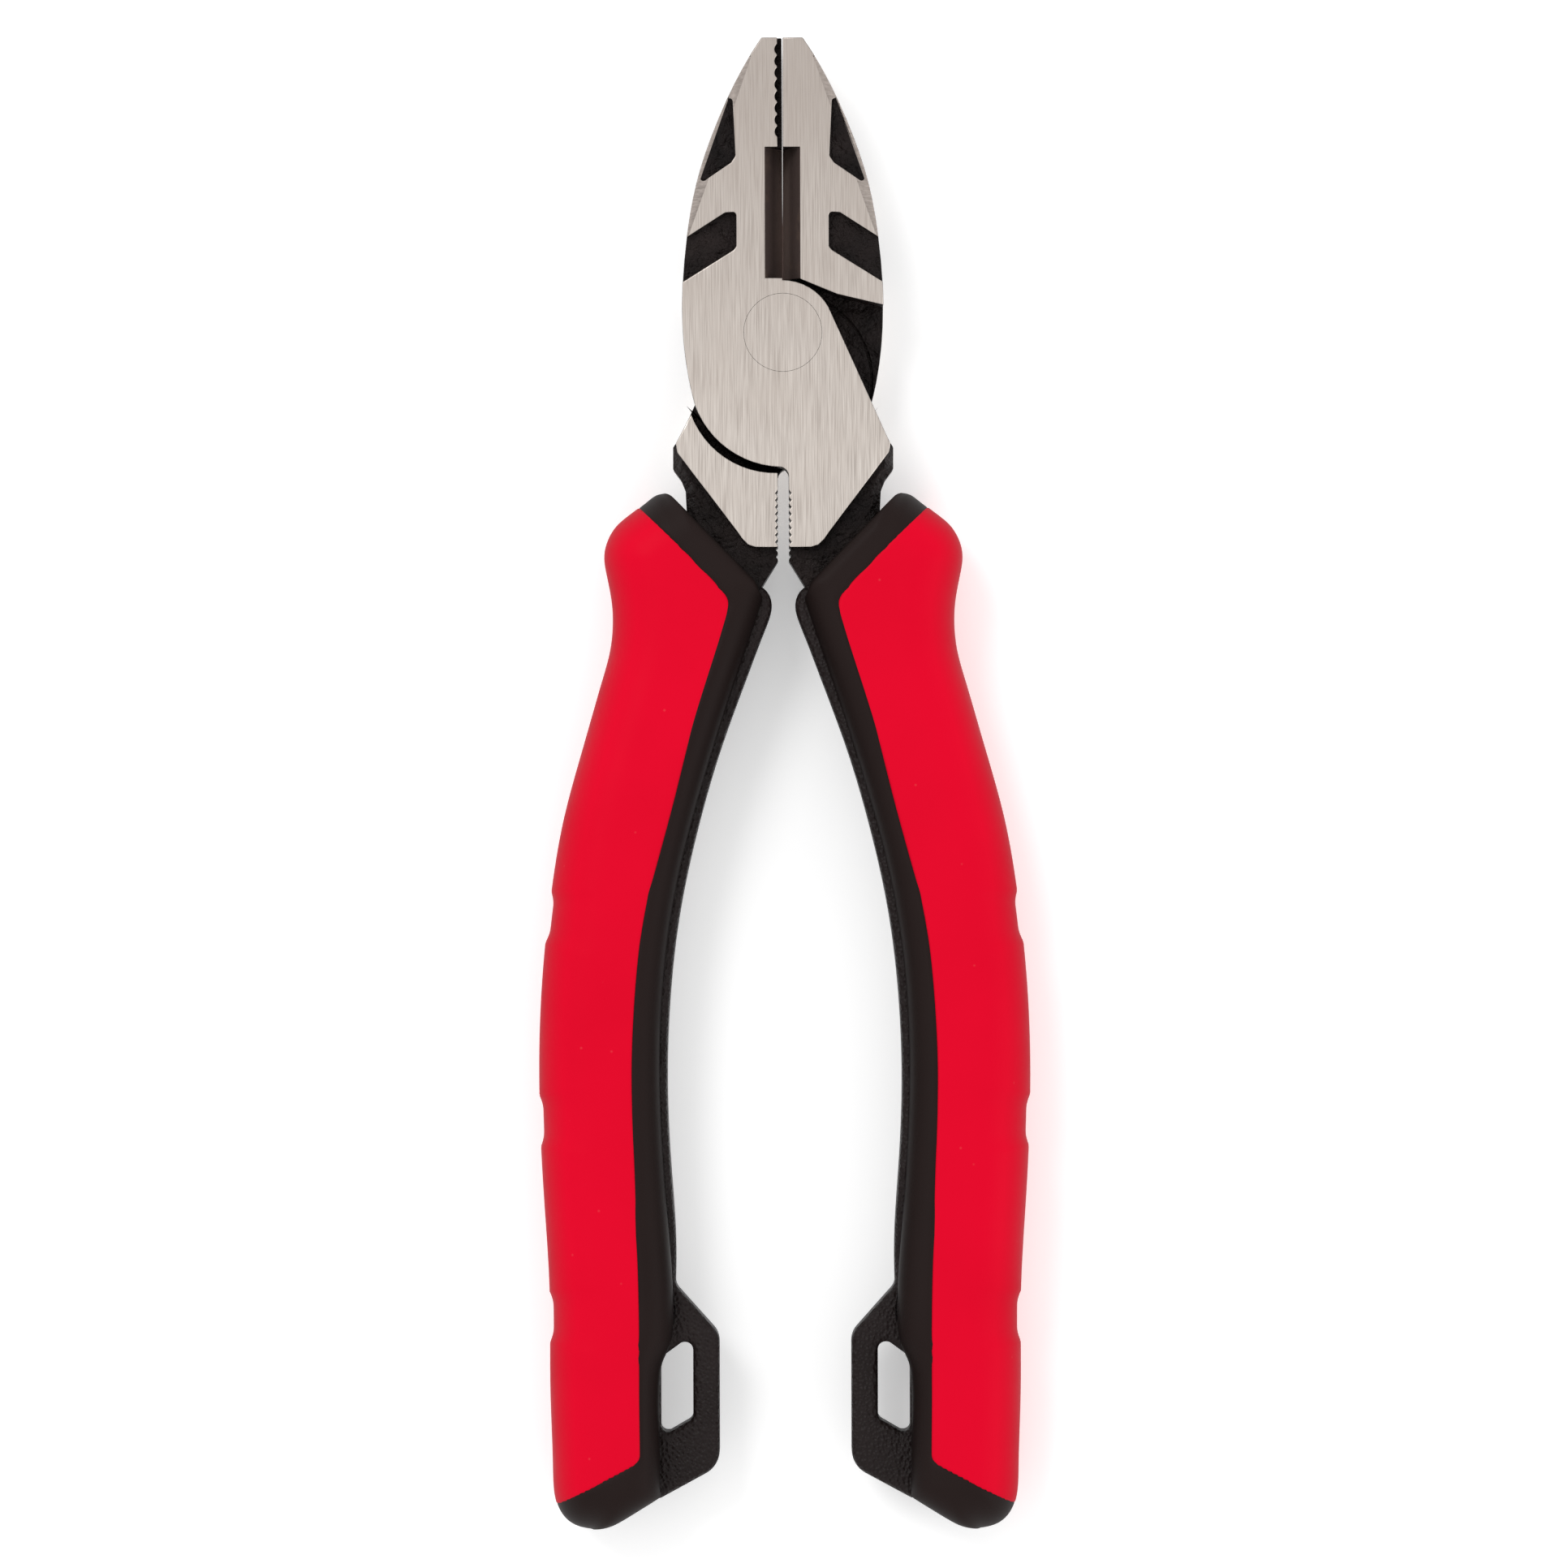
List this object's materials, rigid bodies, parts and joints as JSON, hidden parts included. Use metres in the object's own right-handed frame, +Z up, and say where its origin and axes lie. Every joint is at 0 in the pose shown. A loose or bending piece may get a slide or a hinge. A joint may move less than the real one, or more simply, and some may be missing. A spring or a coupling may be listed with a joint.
{
  "type": "lineman pliers",
  "caption": "Side-cutting combination pliers with serrated nose, crimping slot behind the joint, and long red and black two-tone grips ending in tether loops.",
  "frame": {"origin": "under the middle of the tool's bounding box, on the surface that the grips rest on", "axes": "+Z up through the joint, +Y along the tool from grips to nose, +X across the jaws"},
  "size_m": [0.0664, 0.2032, 0.018],
  "materials": {
    "forged_steel": "cheeks ground and brushed along the tool, the rest black oxide",
    "rivet_steel": "heads ground flush with the cheeks",
    "core_plastic": "hard black plastic with a fine moulded grain",
    "black_overmould": "smooth soft black overmould, satin",
    "red_overmould": "soft red overmould, matt"
  },
  "bodies": {
    "right_jaw_half": {"right_jaw_lever": "forged_steel", "pivot_rivet": "rivet_steel", "left_handle_core": "core_plastic", "left_grip_band": "black_overmould", "left_red_grip": "red_overmould"},
    "left_jaw_half": {"left_jaw_lever": "forged_steel", "right_handle_core": "core_plastic", "right_grip_band": "black_overmould", "right_red_grip": "red_overmould"}
  },
  "joints": [
    {"name": "jaw_pivot", "type": "hinge", "parent": "right_jaw_half", "child": "left_jaw_half", "pos_m": [0, 0.0615, 0.009], "axis": [0, 0, 1], "range_deg": [-0.12, 45]}
  ]
}
